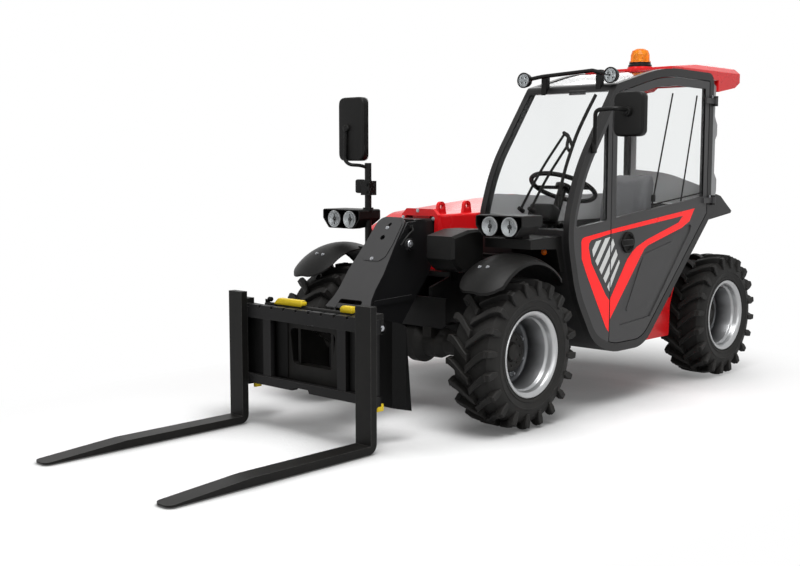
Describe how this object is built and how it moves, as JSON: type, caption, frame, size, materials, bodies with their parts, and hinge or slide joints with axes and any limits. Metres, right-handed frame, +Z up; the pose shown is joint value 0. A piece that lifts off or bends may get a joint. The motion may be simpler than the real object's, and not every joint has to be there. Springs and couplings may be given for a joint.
{
  "type": "compact telehandler",
  "caption": "Compact telehandler with side cab, telescopic boom, pallet-fork carriage, steered wheels and opening door and hood.",
  "frame": {"origin": "bottom centre of the machine's bounding box, on the ground", "axes": "+X forward along the forks, +Y to the machine's left, +Z up"},
  "size_m": [4.496, 1.749, 2],
  "materials": {
    "axle_black": "black painted castings",
    "beacon_amber": "translucent amber lens",
    "boom_black": "satin black paint",
    "cab_black": "satin black cab frame paint",
    "carriage_black": "satin black paint",
    "chrome_rod": "hard chromed rods",
    "door_grey": "dark grey satin panels",
    "engine_grey": "plain grey castings",
    "fork_black": "satin black forged steel",
    "frame_black": "satin black chassis paint",
    "glass": "lightly tinted safety glass",
    "plastic_black": "grained black moulded plastic",
    "red": "glossy red paint",
    "rim_silver": "silver painted steel",
    "seat_black": "black woven seat cover",
    "trim_black": "matt black moulded trim",
    "tyre": "black tread rubber"
  },
  "bodies": {
    "chassis": {"chassis": "frame_black", "front_axle": "axle_black", "rear_axle": "axle_black", "engine_block": "engine_grey", "counterweight": "frame_black", "tow_hitch": "frame_black", "cab_frame": "cab_black", "cab_tub": "cab_black", "quarter_panel": "door_grey", "side_glass": "glass", "windshield": "glass", "rear_window": "glass", "roof": "red", "seat": "seat_black", "steering_wheel": "trim_black", "beacon": "beacon_amber", "side_pod": "frame_black", "rear_cover": "red", "side_tank": "red", "front_fenders": "plastic_black", "front_lamps": "trim_black", "front_cowl": "plastic_black", "mirrors": "trim_black", "roof_lamps": "trim_black", "rear_lamps": "trim_black"},
    "door": {"door": "door_grey", "door_glass": "glass"},
    "hood": {"hood": "red"},
    "boom": {"boom_outer": "red", "lifting_eyes": "red"},
    "boom_inner": {"boom_inner": "boom_black", "boom_head": "boom_black"},
    "carriage": {"coupler": "carriage_black", "carriage": "carriage_black", "fork_left": "fork_black", "fork_right": "fork_black"},
    "lift_barrel": {"lift_barrel": "axle_black"},
    "lift_rod": {"lift_rod": "chrome_rod"},
    "tilt_barrel": {"tilt_barrel": "axle_black"},
    "tilt_rod": {"tilt_rod": "chrome_rod"},
    "knuckle_front_left": {"knuckle_front_left": "axle_black"},
    "wheel_front_left": {"tyre_front_left": "tyre", "rim_front_left": "rim_silver"},
    "knuckle_front_right": {"knuckle_front_right": "axle_black"},
    "wheel_front_right": {"tyre_front_right": "tyre", "rim_front_right": "rim_silver"},
    "knuckle_rear_left": {"knuckle_rear_left": "axle_black"},
    "wheel_rear_left": {"tyre_rear_left": "tyre", "rim_rear_left": "rim_silver"},
    "knuckle_rear_right": {"knuckle_rear_right": "axle_black"},
    "wheel_rear_right": {"tyre_rear_right": "tyre", "rim_rear_right": "rim_silver"}
  },
  "joints": [
    {"name": "steer_front_left", "type": "hinge", "parent": "chassis", "child": "knuckle_front_left", "pos_m": [0.222, 0.3735, 0.38], "axis": [0, 0, 1], "range_deg": [-35, 35]},
    {"name": "steer_front_right", "type": "hinge", "parent": "chassis", "child": "knuckle_front_right", "pos_m": [0.222, -0.6265, 0.38], "axis": [0, 0, 1], "range_deg": [-35, 35]},
    {"name": "steer_rear_left", "type": "hinge", "parent": "chassis", "child": "knuckle_rear_left", "pos_m": [-1.808, 0.3735, 0.38], "axis": [0, 0, 1], "range_deg": [-35, 35]},
    {"name": "steer_rear_right", "type": "hinge", "parent": "chassis", "child": "knuckle_rear_right", "pos_m": [-1.808, -0.6265, 0.38], "axis": [0, 0, 1], "range_deg": [-35, 35]},
    {"name": "spin_front_left", "type": "hinge", "parent": "knuckle_front_left", "child": "wheel_front_left", "pos_m": [0.222, 0.4865, 0.38], "axis": [0, 1, 0], "continuous": true},
    {"name": "spin_front_right", "type": "hinge", "parent": "knuckle_front_right", "child": "wheel_front_right", "pos_m": [0.222, -0.7395, 0.38], "axis": [0, 1, 0], "continuous": true},
    {"name": "spin_rear_left", "type": "hinge", "parent": "knuckle_rear_left", "child": "wheel_rear_left", "pos_m": [-1.808, 0.4865, 0.38], "axis": [0, 1, 0], "continuous": true},
    {"name": "spin_rear_right", "type": "hinge", "parent": "knuckle_rear_right", "child": "wheel_rear_right", "pos_m": [-1.808, -0.7395, 0.38], "axis": [0, 1, 0], "continuous": true},
    {"name": "boom_lift", "type": "hinge", "parent": "chassis", "child": "boom", "pos_m": [-1.853, -0.1265, 0.93], "axis": [0, -1, 0], "range_deg": [0, 58]},
    {"name": "boom_extend", "type": "slide", "parent": "boom", "child": "boom_inner", "axis": [1, 0, 0], "range_m": [0, 1.45]},
    {"name": "carriage_tilt", "type": "hinge", "parent": "boom_inner", "child": "carriage", "pos_m": [0.767, -0.1265, 0.33], "axis": [0, 1, 0], "range_deg": [-18, 90]},
    {"name": "lift_barrel_pivot", "type": "hinge", "parent": "chassis", "child": "lift_barrel", "pos_m": [-0.493, -0.1265, 0.42], "axis": [0, -1, 0], "range_deg": [-23.77, 0.57]},
    {"name": "lift_rod_slide", "type": "slide", "parent": "lift_barrel", "child": "lift_rod", "axis": [-0.9365, 0, 0.3506], "range_m": [-0.001, 0.2796]},
    {"name": "tilt_barrel_pivot", "type": "hinge", "parent": "boom_inner", "child": "tilt_barrel", "pos_m": [0.447, -0.1265, 0.912], "axis": [0, -1, 0], "range_deg": [-1.42, 0.74]},
    {"name": "tilt_rod_slide", "type": "slide", "parent": "tilt_barrel", "child": "tilt_rod", "axis": [0.6146, 0, -0.7888], "range_m": [-0.0331, 0.1613]},
    {"name": "door_hinge", "type": "hinge", "parent": "chassis", "child": "door", "pos_m": [-1.583, 0.6215, 1.699], "axis": [0, 0, 1], "range_deg": [0, 100]},
    {"name": "hood_hinge", "type": "hinge", "parent": "chassis", "child": "hood", "pos_m": [-1.4355, -0.5265, 1.112], "axis": [0, -1, 0], "range_deg": [0, 60]}
  ],
  "couplings": [
    {"joint": "steer_front_right", "follows": "steer_front_left", "ratio": 1},
    {"joint": "steer_rear_right", "follows": "steer_rear_left", "ratio": 1},
    {"joint": "lift_barrel_pivot", "follows": "boom_lift", "ratio": -0.4},
    {"joint": "lift_rod_slide", "follows": "boom_lift", "m_per_rad": 0.2752},
    {"joint": "tilt_barrel_pivot", "follows": "carriage_tilt", "ratio": -0.00938},
    {"joint": "tilt_rod_slide", "follows": "carriage_tilt", "m_per_rad": 0.10207}
  ]
}
